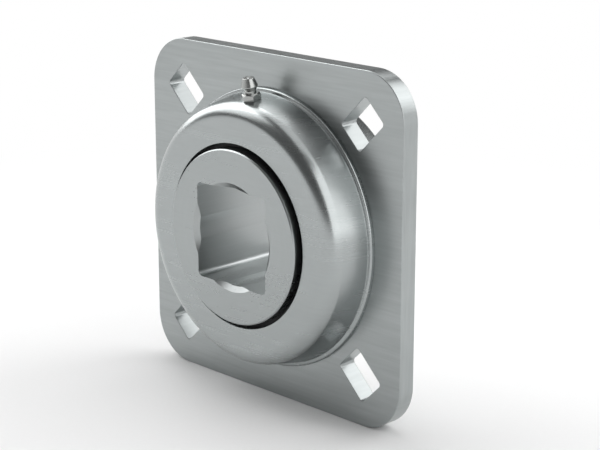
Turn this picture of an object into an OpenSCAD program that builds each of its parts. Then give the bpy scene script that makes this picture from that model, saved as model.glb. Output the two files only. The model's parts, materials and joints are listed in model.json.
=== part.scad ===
// Pressed steel flange bearing with a square bore and a square four slot plate.
// The bore axis is Y, the front faces -Y and +Z is up.
// The origin is on the bore axis, in the plane of the plate's back face.

/* [Flange plate] */
// Side length of the square plate
plate_w = 139.7; // [134:0.1:152]
// Thickness of the plate
plate_t = 7.94; // [6.5:0.02:10]
// Outside corner radius of the plate
plate_corner_r = 19; // [12:0.5:24]
// Chamfer that breaks the plate's outside edges
plate_break = 0.4; // [0.2:0.1:0.8]
// Depth of the round seat that centres each cup on the plate
seat_depth = 0.4; // [0.2:0.1:0.8]

/* [Bolt slots] */
// Distance between neighbouring slot centres, across and up
slot_pitch = 98.6; // [97.6:0.1:101]
// Slot size along the plate's diagonal
slot_l = 17.4; // [14:0.1:18]
// Slot size across the plate's diagonal
slot_w = 13.5; // [11:0.1:15]
// Corner radius inside a slot
slot_corner_r = 1.5; // [0.8:0.1:3]

/* [Housing cups] */
// Sheet thickness of the two cups
cup_t = 2.5; // [2:0.1:3]
// Height of a cup over the face of the plate
cup_h = 18.94; // [17.5:0.02:21]
// Outside radius of the cup's shoulder
cup_shoulder_r = 6.75; // [5.5:0.25:8]
// Lean of the cup's wall from the bore axis, in degrees
cup_lean = 11; // [7:1:13]
// Air between the outer ring and the wall of the cup at its shoulder
cup_gap = 0.25; // [0.15:0.05:0.6]
// How far the foot of the cup stands out past its wall, at the plate
foot_lip = 1.15; // [1:0.05:2.2]
// How far the foot's front falls back between its root and its rim
foot_drop = 0.2; // [0.1:0.05:0.5]
// Chamfer on the foot's rim
foot_break = 0.2; // [0.1:0.05:0.4]
// Radius of the hollow between the foot and the wall
foot_hollow = 0.3; // [0.2:0.05:0.6]
// Chamfer on the rim of the cup's opening
opening_break = 0.25; // [0.15:0.05:0.5]

/* [Rings] */
// Outside diameter of the inner ring
inner_od = 70; // [64:0.1:76]
// Wall of the outer ring over the bottom of its raceway
outer_wall = 4.086; // [3.2:0.002:5]
// How far the inner ring stands out past each cup
inner_proud = 2.49; // [1:0.01:5]
// Air between the inner ring and the rim of the cup's opening
opening_gap = 1.95; // [1.5:0.05:2.4]
// Chamfer on the inner ring's outside edges
inner_break = 0.5; // [0.3:0.1:1]
// Depth of the step that the seals seat in, past the outer ring's land
seal_step = 1.1; // [0.7:0.1:1.5]
// Diameter of the grease holes in the outer ring
grease_hole_d = 2.4; // [1.6:0.1:3]

/* [Square bore] */
// Size of the square bore across its flats
bore_af = 38.5; // [34:0.1:40]
// Corner radius of the square bore
bore_corner_r = 2; // [1:0.1:3.5]
// How far the round bore that the square is broached from reaches past the flats
pilot_past = 0.55; // [0.3:0.05:0.8]
// How far the round lead-in reaches past the flats, at the ring's face
lead_in = 2.65; // [1.5:0.05:3]
// Depth of the lead-in
lead_in_depth = 1.7; // [1:0.05:2.4]

/* [Balls and cage] */
// Number of balls
ball_count = 10; // [8:1:11]
// Diameter of a ball
ball_d = 14.288; // [13:0.001:14.6]
// How far the ball centres lie outside the inner ring's outside
pitch_past = 3.75; // [3.6:0.05:4]
// Clearance between a ball and the bottom of each raceway
race_gap = 0.02; // [0.01:0.005:0.04]
// Radius of a raceway as a share of the ball diameter
race_ratio = 0.52; // [0.515:0.005:0.53]
// Sheet thickness of a cage half
cage_t = 1.2; // [0.8:0.1:1.4]
// Clearance between a ball and its cage pocket
pocket_gap = 0.12; // [0.08:0.01:0.2]
// Air between the cage and the ring lands on both sides
cage_side_gap = 1.3; // [0.8:0.1:1.6]
// Diameter of a cage rivet's shank
rivet_d = 2; // [1.6:0.1:2.2]
// Diameter of a cage rivet's heads
rivet_head_d = 3.5; // [2.8:0.1:3.6]
// Height of a cage rivet's heads
rivet_head_h = 0.9; // [0.6:0.1:1.2]

/* [Seals] */
// Sheet thickness of the seal shrouds
shroud_t = 1; // [0.7:0.1:1.3]
// Distance from the end of the outer ring in to the shroud's face
shroud_recess = 0.8; // [0.4:0.1:1.2]
// Width of the rubber past the shroud, towards the inner ring
lip_reach = 2.2; // [1.6:0.1:2.6]
// Clearance between the lip edges and the inner ring
lip_gap = 0.05; // [0.02:0.01:0.1]
// Thickness of the rubber web on the inside of the shroud
web_t = 1.2; // [0.8:0.1:1.6]
// Thickness of one rubber lip
lip_t = 1; // [0.7:0.1:1.2]
// How far a lip leans along the bore between its root and its edge
lip_lean = 1.2; // [0.8:0.1:1.4]
// Half the thickness of a lip at its edge
lip_edge = 0.3; // [0.2:0.05:0.4]
// Air between the cage and the seals
seal_air = 1.2; // [1:0.1:1.6]

/* [Grease nipple] */
// Distance of the nipple's base behind the face of the cup, along the bore axis
nipple_back = 9.2; // [8.5:0.05:10.5]
// Height of the nipple over the cup
nipple_h = 8.7; // [8.2:0.1:10]
// Size of the nipple's hexagon across its flats
hex_af = 7; // [6.6:0.1:8]
// Height of the nipple's hexagon
hex_h = 2.7; // [2.6:0.1:3.2]
// Height of the cone that turns down the hexagon's top corners
hex_chamfer_h = 0.9; // [0.6:0.1:1.2]
// How far that cone reaches in past the flats, at the hexagon's top
hex_chamfer_run = 0.3; // [0.2:0.05:0.5]
// Height of the nipple's neck
neck_h = 1; // [0.8:0.1:1.2]
// Height of the cone under the nipple's head
head_under_h = 1.7; // [1.5:0.1:1.9]
// Largest diameter of the nipple's head
head_d = 6.7; // [6.2:0.1:6.8]
// Diameter of the flat on top of the nipple's head
head_top_d = 4.4; // [4:0.1:5]
// Diameter of the nipple's neck
neck_d = 4.6; // [4.2:0.1:5]
// Diameter of the nipple's shank in the cup
shank_d = 6; // [5:0.1:6.2]
// How far the shank reaches past the inside of the cup
shank_past = 0.1; // [0.05:0.05:0.2]
// Turn of the hexagon about the nipple's axis, in degrees
hex_turn = 29; // [0:1:59]
// Diameter of the nipple's check ball
check_d = 2.2; // [2:0.1:2.4]
// Diameter of the hole that the check ball closes
orifice_d = 1.5; // [1.2:0.1:1.7]
// Length of the hole that the check ball closes
orifice_l = 0.35; // [0.25:0.05:0.5]
// Diameter of the chamber that holds the check ball and its spring
chamber_d = 2.6; // [2.5:0.1:3]
// Height of the chamber's floor over the cup
chamber_bottom = 1.6; // [1.2:0.1:2]
// Diameter of the grease channel through the shank
channel_d = 1.6; // [1.2:0.1:1.8]
// Wire diameter of the check spring
spring_wire_d = 0.3; // [0.2:0.05:0.4]
// Number of turns of the check spring
spring_turns = 5; // [4:1:7]
// Air between the check spring and the chamber's wall
spring_gap = 0.15; // [0.1:0.01:0.2]

/* [Hidden] */
$fn = 96;

// Places that several pieces share. Radii are from the bore axis and
// distances from the middle of the plate's thickness.
plate_half_t = plate_t / 2;
seat_s = plate_half_t - seat_depth;
cup_face_s = plate_half_t + cup_h;
ring_half_w = cup_face_s - cup_t;
inner_half_w = cup_face_s + inner_proud;
inner_r = inner_od / 2;
opening_r = inner_r + opening_gap;
ball_r = ball_d / 2;
pitch_r = inner_r + pitch_past;
ring_r = pitch_r + ball_r + race_gap + outer_wall;
fit_gap = 0.05;
overrun = 1;
join = 0.01;

// The cup's shoulder arc and the straight wall that leaves it
shoulder_r_pos = ring_r + cup_gap + cup_t - cup_shoulder_r;
shoulder_s_pos = cup_face_s - cup_shoulder_r;
wall_normal = [cos(cup_lean), sin(cup_lean)];
shoulder_centre = [shoulder_r_pos, shoulder_s_pos];
wall_top = shoulder_centre + cup_shoulder_r * wall_normal;
function wall_r(s) = wall_top[0] + (wall_top[1] - s) * tan(cup_lean);
function inner_wall_r(s) = wall_r(s) - cup_t / cos(cup_lean);
foot_top_s = seat_s + cup_t;
foot_root_r = wall_r(foot_top_s + foot_hollow) + foot_hollow / cos(cup_lean);
foot_rim_s = foot_top_s - foot_drop;
foot_r = wall_r(plate_half_t) + foot_lip;

// The raceways and the lands beside them
race_r = race_ratio * ball_d;
outer_race_pos = pitch_r + ball_r + race_gap - race_r;
inner_race_pos = pitch_r - ball_r - race_gap + race_r;
land_r = pitch_r + pitch_past;
race_half_w = sqrt(pow(race_r, 2) - pow(land_r - outer_race_pos, 2));
pocket_r = ball_r + pocket_gap;
seal_bore_r = land_r + seal_step;
seal_shoulder_s = pocket_r + cage_t + seal_air;
shroud_face_s = ring_half_w - shroud_recess;
shroud_inner_r = inner_r + lip_reach;
lip_tip_r = inner_r + lip_gap;
ring_corner_relief = 0.25;
ring_corner_r = cup_shoulder_r - cup_t + ring_corner_relief;
grease_hole_s = (race_half_w + seal_shoulder_s) / 2;
grease_holes_a_side = 3;

// The nipple stands square on the front cup's wall
nipple_base_s = cup_face_s - nipple_back;
nipple_base_r = wall_r(nipple_base_s);
shank_l = cup_t + shank_past;
hex_corner_r = hex_af / 2 / cos(30);
hex_top_d = hex_af - 2 * hex_chamfer_run;
head_wide_s = hex_h + neck_h + head_under_h;
seat_slack = 0.02;
chamber_top = nipple_h - orifice_l;
check_drop = sqrt(pow(check_d / 2, 2) - pow(orifice_d / 2, 2));
check_s = chamber_top - check_drop - seat_slack;
spring_mean_r = chamber_d / 2 - spring_wire_d / 2 - spring_gap;
spring_bottom = chamber_bottom + spring_wire_d / 2 + seat_slack;
spring_reach = check_d / 2 + spring_wire_d / 2 + seat_slack;
spring_top = check_s - sqrt(pow(spring_reach, 2) - pow(spring_mean_r, 2));

plate_colour = [0.62, 0.64, 0.64];
cup_colour = [0.70, 0.72, 0.72];
ring_colour = [0.60, 0.62, 0.62];
cage_colour = [0.58, 0.56, 0.50];
ball_colour = [0.80, 0.81, 0.82];
shroud_colour = [0.24, 0.25, 0.26];
rubber_colour = [0.05, 0.05, 0.05];
nipple_colour = [0.66, 0.66, 0.64];

// Turns a shape drawn around Z onto the bore axis, with Z 0 at the middle
// of the plate, Z up towards the front and Y towards the top.
module on_bore_axis() {
    translate([0, -plate_half_t, 0]) rotate([90, 0, 0]) children();
}

// The same for the rear half, which is the front half mirrored.
module on_rear_side() {
    on_bore_axis() mirror([0, 0, 1]) children();
}

// Moves a shape drawn up Z from the nipple's base to its place on the cup.
module on_nipple_axis() {
    on_bore_axis() translate([0, nipple_base_r, nipple_base_s])
        rotate([cup_lean - 90, 0, 0]) children();
}

// Flat sided blank with broken long edges, for one direction of the plate.
module plate_bar(width, length) {
    h = width / 2;
    c = plate_break;
    t = plate_half_t;
    translate([-length / 2, 0, 0]) rotate([90, 0, 90]) linear_extrude(length)
        polygon([[-h, -t + c], [-h + c, -t], [h - c, -t], [h, -t + c],
                 [h, t - c], [h - c, t], [-h + c, t], [-h, t - c]]);
}

// Round corner of the plate with the same broken edges.
module plate_corner() {
    r = plate_corner_r;
    c = plate_break;
    t = plate_half_t;
    rotate_extrude()
        polygon([[0, -t], [r - c, -t], [r, -t + c], [r, t - c], [r - c, t], [0, t]]);
}

// Rounded rectangle, long side along X, as a tall cutter.
module slot_cutter(length, width, corner_r, depth) {
    translate([0, 0, -depth / 2]) linear_extrude(depth) union() {
        square([length - 2 * corner_r, width], center = true);
        square([length, width - 2 * corner_r], center = true);
        for (x = [-1, 1], y = [-1, 1])
            translate([x * (length / 2 - corner_r), y * (width / 2 - corner_r)])
                circle(corner_r);
    }
}

module flange_plate() {
    straight = plate_w - 2 * plate_corner_r;
    corner_pos = plate_w / 2 - plate_corner_r;
    color(plate_colour) on_bore_axis() difference() {
        union() {
            plate_bar(plate_w, straight);
            rotate([0, 0, 90]) plate_bar(plate_w, straight);
            for (x = [-1, 1], y = [-1, 1])
                translate([x * corner_pos, y * corner_pos, 0]) plate_corner();
        }
        cylinder(h = plate_t + 2 * overrun, r = ring_r + fit_gap, center = true);
        for (side = [-1, 1])
            translate([0, 0, side * (seat_s + overrun)])
                cylinder(h = 2 * overrun, r = foot_r + fit_gap, center = true);
        for (x = [-1, 1], y = [-1, 1])
            translate([x * slot_pitch / 2, y * slot_pitch / 2, 0])
                rotate([0, 0, x * y * 45])
                    slot_cutter(slot_l, slot_w, slot_corner_r, plate_t + 2 * overrun);
    }
}

// Half section of the space under a cup's skin: wall, shoulder and face.
module cup_form(skin) {
    top = wall_top - skin * wall_normal;
    low_s = seat_s - overrun;
    low_r = top[0] + (top[1] - low_s) * tan(cup_lean);
    polygon([[0, low_s], [low_r, low_s], top, [shoulder_r_pos, cup_face_s - skin],
             [0, cup_face_s - skin]]);
    translate(shoulder_centre) circle(cup_shoulder_r - skin);
}

// Half section that fills the corner between a flat at height s and the
// leaning wall, rounded by a circle tangent to both.
module wall_fillet(skin, s, r) {
    centre_s = s + r;
    wall_at_centre = wall_top[0] - skin / cos(cup_lean)
                     + (wall_top[1] - centre_s) * tan(cup_lean);
    centre = [wall_at_centre + r / cos(cup_lean), centre_s];
    tangent = centre - r * wall_normal;
    corner_r = wall_top[0] - skin / cos(cup_lean) + (wall_top[1] - s) * tan(cup_lean);
    difference() {
        polygon([[corner_r - join, s], [centre[0], s], centre, tangent]);
        translate(centre) circle(r);
    }
}

// Pressed cup with a foot on the plate and a round opening in its face.
module cup() {
    low = seat_s - overrun;
    rotate_extrude() difference() {
        union() {
            intersection() {
                cup_form(0);
                translate([0, seat_s]) square([2 * ring_r, cup_face_s]);
            }
            polygon([[0, seat_s], [foot_r, seat_s], [foot_r, foot_rim_s - foot_break],
                     [foot_r - foot_break, foot_rim_s], [foot_root_r, foot_top_s],
                     [0, foot_top_s]]);
            wall_fillet(0, foot_top_s, foot_hollow);
        }
        intersection() {
            cup_form(cup_t);
            translate([0, low]) square([2 * ring_r, cup_face_s]);
        }
        wall_fillet(cup_t, seat_s, cup_t - foot_hollow);
        translate([0, low]) square([opening_r, cup_face_s]);
        polygon([[opening_r - overrun, cup_face_s + overrun],
                 [opening_r - overrun, cup_face_s - opening_break],
                 [opening_r, cup_face_s - opening_break],
                 [opening_r + opening_break + overrun, cup_face_s + overrun]]);
    }
}

module front_cup() {
    color(cup_colour) difference() {
        on_bore_axis() cup();
        on_nipple_axis() translate([0, 0, -2 * cup_t])
            cylinder(h = 4 * cup_t, d = shank_d + 2 * fit_gap);
    }
}

module rear_cup() {
    color(cup_colour) on_rear_side() cup();
}

// Outer ring: rounded outside corners, one raceway, a seal seat in each end
// and small grease holes beside the raceway.
module outer_ring() {
    corner = [ring_r - ring_corner_r, ring_half_w - ring_corner_r];
    color(ring_colour) on_bore_axis() difference() {
        rotate_extrude() difference() {
            union() {
                translate([0, -ring_half_w]) square([corner[0], 2 * ring_half_w]);
                translate([0, -corner[1]]) square([ring_r, 2 * corner[1]]);
                for (side = [-1, 1])
                    translate([corner[0], side * corner[1]]) circle(ring_corner_r);
            }
            translate([-overrun, -ring_half_w - overrun])
                square([land_r + overrun, 2 * (ring_half_w + overrun)]);
            for (side = [-1, 1])
                translate([0, side * (seal_shoulder_s + ring_half_w)])
                    square([2 * seal_bore_r, 2 * ring_half_w], center = true);
            translate([outer_race_pos, 0]) circle(race_r);
        }
        for (side = [-1, 1], i = [0 : grease_holes_a_side - 1])
            rotate([0, 0, 90 + i * 360 / grease_holes_a_side])
                translate([land_r - overrun, 0, side * grease_hole_s]) rotate([0, 90, 0])
                    cylinder(h = ring_r - land_r + 2 * overrun, d = grease_hole_d);
    }
}

// Round bore that the square is broached from, opened by a cone at each face.
module pilot_bore() {
    pilot_r = bore_af / 2 + pilot_past;
    mouth_r = bore_af / 2 + lead_in;
    start_s = inner_half_w - lead_in_depth;
    end_s = inner_half_w + overrun;
    end_r = mouth_r + (mouth_r - pilot_r) * overrun / lead_in_depth;
    rotate_extrude()
        polygon([[0, -end_s], [end_r, -end_s], [pilot_r, -start_s],
                 [pilot_r, start_s], [end_r, end_s], [0, end_s]]);
}

// Inner ring: one raceway outside, and a square bore through it.
module inner_ring() {
    c = inner_break;
    w = inner_half_w;
    color(ring_colour) on_bore_axis() difference() {
        rotate_extrude() difference() {
            polygon([[0, -w], [inner_r - c, -w], [inner_r, -w + c],
                     [inner_r, w - c], [inner_r - c, w], [0, w]]);
            translate([inner_race_pos, 0]) circle(race_r);
        }
        slot_cutter(bore_af, bore_af, bore_corner_r, 2 * (w + overrun));
        pilot_bore();
    }
}

module ball(i) {
    color(ball_colour) on_bore_axis()
        rotate([0, 0, 90 + (i - 1) * 360 / ball_count])
            translate([pitch_r, 0, 0]) sphere(ball_r);
}

// Half of the pressed cage: a flat band with a round pocket over each ball.
module cage_half() {
    band_in = inner_r + cage_side_gap;
    band_out = land_r - cage_side_gap;
    dome_r = pocket_r + cage_t;
    difference() {
        union() {
            difference() {
                cylinder(h = cage_t, r = band_out);
                translate([0, 0, -overrun]) cylinder(h = cage_t + 2 * overrun, r = band_in);
            }
            intersection() {
                for (i = [0 : ball_count - 1])
                    rotate([0, 0, 90 + i * 360 / ball_count])
                        translate([pitch_r, 0, 0]) sphere(dome_r);
                difference() {
                    cylinder(h = dome_r + overrun, r = band_out);
                    translate([0, 0, -overrun])
                        cylinder(h = dome_r + 3 * overrun, r = band_in);
                }
            }
        }
        for (i = [0 : ball_count - 1])
            rotate([0, 0, 90 + i * 360 / ball_count]) {
                translate([pitch_r, 0, 0]) sphere(pocket_r);
                rotate([0, 0, 180 / ball_count]) translate([pitch_r, 0, -overrun])
                    cylinder(h = cage_t + 2 * overrun, d = rivet_d);
            }
    }
}

module front_cage_half() {
    color(cage_colour) on_bore_axis() cage_half();
}

module rear_cage_half() {
    color(cage_colour) on_rear_side() cage_half();
}

// One rivet for each space between two balls, headed on both sides.
module cage_rivets() {
    color(cage_colour) on_bore_axis() for (i = [0 : ball_count - 1])
        rotate([0, 0, 90 + (i + 0.5) * 360 / ball_count]) translate([pitch_r, 0, 0]) {
            cylinder(h = 2 * cage_t, d = rivet_d, center = true);
            for (side = [0, 1]) mirror([0, 0, side]) translate([0, 0, cage_t])
                cylinder(h = rivet_head_h, d1 = rivet_head_d, d2 = rivet_d);
        }
}

// Pressed shroud: a rim in the outer ring's seat and a web towards the bore.
module seal_shroud() {
    rotate_extrude() {
        translate([seal_bore_r - shroud_t, seal_shoulder_s])
            square([shroud_t, shroud_face_s - seal_shoulder_s]);
        translate([shroud_inner_r, shroud_face_s - shroud_t])
            square([seal_bore_r - shroud_inner_r, shroud_t]);
    }
}

// Rubber bonded to the shroud's web, with three lips that ride on the inner
// ring: two lean in against the grease and one leans out against the dirt.
module seal_lips() {
    web_s = shroud_face_s - shroud_t - web_t;
    hub_r = shroud_inner_r + web_t;
    deep_s = seal_shoulder_s + lip_t + lip_lean;
    mid_s = (deep_s + web_s) / 2;
    rotate_extrude() union() {
        translate([shroud_inner_r, web_s])
            square([seal_bore_r - shroud_t - shroud_inner_r, web_t]);
        translate([shroud_inner_r, deep_s - lip_t])
            square([web_t, web_s - deep_s + lip_t + web_t]);
        for (s = [deep_s, mid_s])
            polygon([[hub_r, s - lip_t], [hub_r, s],
                     [lip_tip_r, s - lip_lean + lip_edge],
                     [lip_tip_r, s - lip_lean - lip_edge]]);
        polygon([[hub_r, web_s], [hub_r, web_s + web_t],
                 [shroud_inner_r, web_s + web_t], [shroud_inner_r, shroud_face_s],
                 [lip_tip_r, shroud_face_s + lip_edge],
                 [lip_tip_r, shroud_face_s - lip_edge], [shroud_inner_r, web_s]]);
    }
}

module front_seal_shroud() {
    color(shroud_colour) on_bore_axis() seal_shroud();
}

module rear_seal_shroud() {
    color(shroud_colour) on_rear_side() seal_shroud();
}

module front_seal_lips() {
    color(rubber_colour) on_bore_axis() seal_lips();
}

module rear_seal_lips() {
    color(rubber_colour) on_rear_side() seal_lips();
}

// Hexagon with its top corners turned down to a cone.
module nipple_hex() {
    intersection() {
        rotate([0, 0, hex_turn]) cylinder(h = hex_h, r = hex_corner_r, $fn = 6);
        union() {
            cylinder(h = hex_h - hex_chamfer_h, r = hex_corner_r + overrun);
            translate([0, 0, hex_h - hex_chamfer_h])
                cylinder(h = hex_chamfer_h, r1 = hex_corner_r + fit_gap, r2 = hex_top_d / 2);
        }
    }
}

module grease_nipple() {
    color(nipple_colour) on_nipple_axis() difference() {
        union() {
            translate([0, 0, -shank_l]) cylinder(h = shank_l, d = shank_d);
            nipple_hex();
            rotate_extrude()
                polygon([[0, hex_h], [neck_d / 2, hex_h], [neck_d / 2, hex_h + neck_h],
                         [head_d / 2, head_wide_s], [head_top_d / 2, nipple_h],
                         [0, nipple_h]]);
        }
        translate([0, 0, -shank_l - overrun])
            cylinder(h = shank_l + 2 * overrun + chamber_bottom, d = channel_d);
        translate([0, 0, chamber_bottom])
            cylinder(h = chamber_top - chamber_bottom, d = chamber_d);
        translate([0, 0, chamber_top - overrun / 2])
            cylinder(h = orifice_l + overrun, d = orifice_d);
    }
}

module nipple_check_ball() {
    color(ball_colour) on_nipple_axis() translate([0, 0, check_s]) sphere(d = check_d);
}

// Coil spring under the check ball, as a tube swept along a helix.
module nipple_spring() {
    steps_a_turn = 14;
    steps = steps_a_turn * spring_turns;
    sides = 8;
    rise = spring_top - spring_bottom;
    wire_r = spring_wire_d / 2;
    points = [for (i = [0 : steps], j = [0 : sides - 1])
        let (turn = 360 * spring_turns * i / steps, a = 360 * j / sides,
             r = spring_mean_r + wire_r * cos(a))
        [r * cos(turn), r * sin(turn), spring_bottom + rise * i / steps + wire_r * sin(a)]];
    skin = [for (i = [0 : steps - 1], j = [0 : sides - 1])
        let (next = (j + 1) % sides)
        [i * sides + j, (i + 1) * sides + j, (i + 1) * sides + next, i * sides + next]];
    first_end = [for (j = [0 : sides - 1]) j];
    last_end = [for (j = [sides - 1 : -1 : 0]) steps * sides + j];
    color(ball_colour) on_nipple_axis()
        polyhedron(points, concat(skin, [first_end, last_end]));
}

flange_plate();
front_cup();
rear_cup();
outer_ring();
inner_ring();
front_cage_half();
rear_cage_half();
cage_rivets();
front_seal_shroud();
rear_seal_shroud();
front_seal_lips();
rear_seal_lips();
grease_nipple();
nipple_check_ball();
nipple_spring();
for (i = [1 : ball_count])
    ball(i);
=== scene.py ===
"""Pressed steel flange bearing with a square bore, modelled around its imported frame.

Everything is in metres. The bore axis is Y, the front faces -Y and +Z is up. An
outline is a list of (radius, depth) points, where depth is the distance from
the middle of the plate's thickness towards the front or the rear.
"""

import json
import math

import bpy
from mathutils import Matrix, Vector


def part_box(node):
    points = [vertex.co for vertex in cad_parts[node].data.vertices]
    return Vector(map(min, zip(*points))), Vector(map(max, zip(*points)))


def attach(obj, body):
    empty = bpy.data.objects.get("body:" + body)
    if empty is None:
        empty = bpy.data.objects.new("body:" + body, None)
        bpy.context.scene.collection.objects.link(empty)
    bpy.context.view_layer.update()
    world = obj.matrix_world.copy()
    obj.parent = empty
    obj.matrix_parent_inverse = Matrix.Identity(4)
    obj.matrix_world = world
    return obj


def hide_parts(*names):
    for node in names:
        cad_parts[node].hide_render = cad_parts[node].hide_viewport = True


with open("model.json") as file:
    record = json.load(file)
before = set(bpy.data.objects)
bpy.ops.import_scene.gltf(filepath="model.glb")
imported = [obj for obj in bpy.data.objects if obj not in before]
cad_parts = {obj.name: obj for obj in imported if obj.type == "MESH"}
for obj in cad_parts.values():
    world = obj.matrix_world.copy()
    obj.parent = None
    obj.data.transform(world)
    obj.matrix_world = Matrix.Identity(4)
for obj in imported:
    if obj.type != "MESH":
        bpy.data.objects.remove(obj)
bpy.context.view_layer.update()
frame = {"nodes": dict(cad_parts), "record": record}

bl_info = {
    "name": "Pressed Steel Flange Bearing",
    "version": (1, 0, 0),
    "blender": (4, 5, 0),
    "location": "View3D > Sidebar > Bearing",
    "description": "Builds and finishes the pieces of a square flange bearing",
    "category": "Add Mesh",
}

MM = 0.001
MERGE_DISTANCE = 0.001 * MM

# How finely round shapes are stepped
TURN_STEPS = 288
NIPPLE_STEPS = 96
ARC_STEP = math.radians(9)
CORNER_STEPS = 24
SLOT_CORNER_STEPS = 10
RACE_STEPS = 12
EDGE_STEPS = 3
SMALL_EDGE_STEPS = 2
SHARP = math.radians(20)

# How a cylinder is turned to lie along Y, and half of a hexagon's side as an angle
ALONG_Y = (math.radians(90), 0, 0)
HALF_SIDE = math.radians(30)

GREASE_HOLES_A_SIDE = 3

# How near to a slot's outline a vertex counts as on it
RIM_TOLERANCE = 0.03 * MM

# A face of the inner ring is in the bore where its normal's Y is under the first
# value and its centre lies within the second, a share of the ring's radius
FLAT_NORMAL = 0.98
BORE_REACH = 0.8

# Noise features a metre along X, Y and Z
FINE_GRAIN = (60, 60, 1000)
LONG_GRAIN = (20, 20, 420)
UPRIGHT_FINE_GRAIN = (1100, 1100, 70)
UPRIGHT_LONG_GRAIN = (380, 380, 22)
SHEET_CLOUDS = (16, 30, 34)
RING_CLOUDS = (20, 30, 34)
TURNING_GRAIN = (900, 900, 1)
BROACH_MARKS = (1400, 24, 1400)
BROACH_BANDS = (120, 14, 120)
LATHE_MARKS = (60, 60, 5200)
PAPER_GRAIN = (700, 700, 700)

# The plate's grain turns upright where the normal's X goes from the first to the second
SIDE_NORMALS = (0.93, 0.98)

# The floor's size, where its lit part gives way to plain white, and where the
# white horizon gives way to the dim room, in degrees
FLOOR_SIZE = 12
WHITE_FLOOR_FADE = (0.14, 0.46)
HORIZON_FADE = (3, 8)

# The softboxes: name, azimuth and elevation in degrees, distance, width, height and
# the setting that holds the brightness
SOFTBOXES = (
    ("left_softbox", -96, 36, 1.10, 0.92, 1.15, "left_lamp"),
    ("left_front_softbox", -56, 41, 1.10, 0.50, 0.70, "left_front_lamp"),
    ("right_softbox", 93, 29, 1.10, 1.5, 1.1, "right_lamp"),
    ("back_softbox", 154, 33, 1.15, 0.70, 1.0, "back_lamp"),
    ("back_left_softbox", -146, 52, 1.15, 0.6, 0.55, "back_left_lamp"),
    ("top_panel", 150, 80, 1.20, 1.2, 1.0, "top_lamp"),
)
SENSOR_WIDTH = 36
CLIP_START = 0.01

# Sides of the plate, as the sign of Y
SIDES = {"front": -1, "rear": 1}

# Sizes read from the frame
PLATE_LOW, PLATE_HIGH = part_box("flange_plate")
CUP_LOW, CUP_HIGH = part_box("front_cup")
OUTER_LOW, OUTER_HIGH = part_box("outer_ring")
INNER_LOW, INNER_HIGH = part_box("inner_ring")
SHROUD_LOW, SHROUD_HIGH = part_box("front_seal_shroud")
BALL_LOW, BALL_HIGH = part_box("ball_1")
BALL_RADIUS = (BALL_HIGH.z - BALL_LOW.z) / 2
BALL_PITCH = BALL_HIGH.z - BALL_RADIUS
MIDDLE_Y = (PLATE_LOW.y + PLATE_HIGH.y) / 2
PLATE_HALF = (PLATE_HIGH.y - PLATE_LOW.y) / 2
FIT = 0.05 * MM
FITTING = next(m for m in frame["record"]["mounts"] if m["name"] == "grease_fitting")
NIPPLE_TIP = Vector(FITTING["pos_m"])
NIPPLE_AXIS = Vector(FITTING["axis"]).normalized()
NIPPLE_LEAN = math.atan2(-NIPPLE_AXIS.y, NIPPLE_AXIS.z)


def length(name, description, default):
    """A size property in metres."""
    return bpy.props.FloatProperty(
        name=name, description=description, default=default, min=0.0, max=1.0,
        precision=5, unit="LENGTH")


def angle(name, description, default):
    """An angle property, given in degrees."""
    return bpy.props.FloatProperty(
        name=name, description=description, default=math.radians(default),
        subtype="ANGLE", unit="ROTATION")


def share(name, description, default, top=1.0):
    """A plain number property from 0 to top."""
    return bpy.props.FloatProperty(
        name=name, description=description, default=default, min=0.0, max=top, precision=3)


def colour(name, description, default):
    """A colour property, in linear red, green and blue."""
    return bpy.props.FloatVectorProperty(
        name=name, description=description, default=default, size=3,
        min=0.0, max=1.0, subtype="COLOR")


class PlateSizes(bpy.types.PropertyGroup):
    """Sizes of the square plate and its slots."""
    width: length("Width", "Side of the square plate", PLATE_HIGH.x - PLATE_LOW.x)
    thickness: length("Thickness", "Thickness of the plate", PLATE_HIGH.y - PLATE_LOW.y)
    corner_radius: length("Corner Radius", "Outside corner radius", 19 * MM)
    edge_round: length("Edge Round", "Round on the outside edges", 0.4 * MM)
    slot_pitch: length("Slot Pitch", "Distance between neighbouring slots", 98.6 * MM)
    slot_length: length("Slot Length", "Slot size along the diagonal", 17.4 * MM)
    slot_width: length("Slot Width", "Slot size across the diagonal", 13.5 * MM)
    slot_corner_radius: length("Slot Corner Radius", "Corner radius in a slot", 1.5 * MM)
    slot_edge_round: length("Slot Edge Round", "Round on a slot's edges", 0.18 * MM)


class CupSizes(bpy.types.PropertyGroup):
    """Sizes of the two pressed cups."""
    sheet: length("Sheet", "Sheet thickness", 2.5 * MM)
    face: length("Face", "Depth of the cup's face", MIDDLE_Y - CUP_LOW.y)
    seat: length("Seat", "Depth of the foot's seat in the plate", MIDDLE_Y - CUP_HIGH.y)
    foot_radius: length("Foot Radius", "Outside radius of the foot", CUP_HIGH.x)
    foot_lip: length("Foot Lip", "Reach of the foot past the wall", 1.15 * MM)
    foot_slope: angle("Foot Slope", "Fall of the foot's front towards its rim", 10.2)
    foot_round: length("Foot Round", "Radius of the foot's rim", 0.85 * MM)
    foot_hollow: length("Foot Hollow", "Radius between foot and wall", 0.15 * MM)
    shoulder_radius: length("Shoulder Radius", "Outside radius of the shoulder", 6.75 * MM)
    lean: angle("Lean", "Lean of the wall from the bore axis", 11)
    opening_radius: length("Opening Radius", "Radius of the opening", 36.95 * MM)
    edge_round: length("Edge Round", "Round on the opening's edges", 0.25 * MM)


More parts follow.
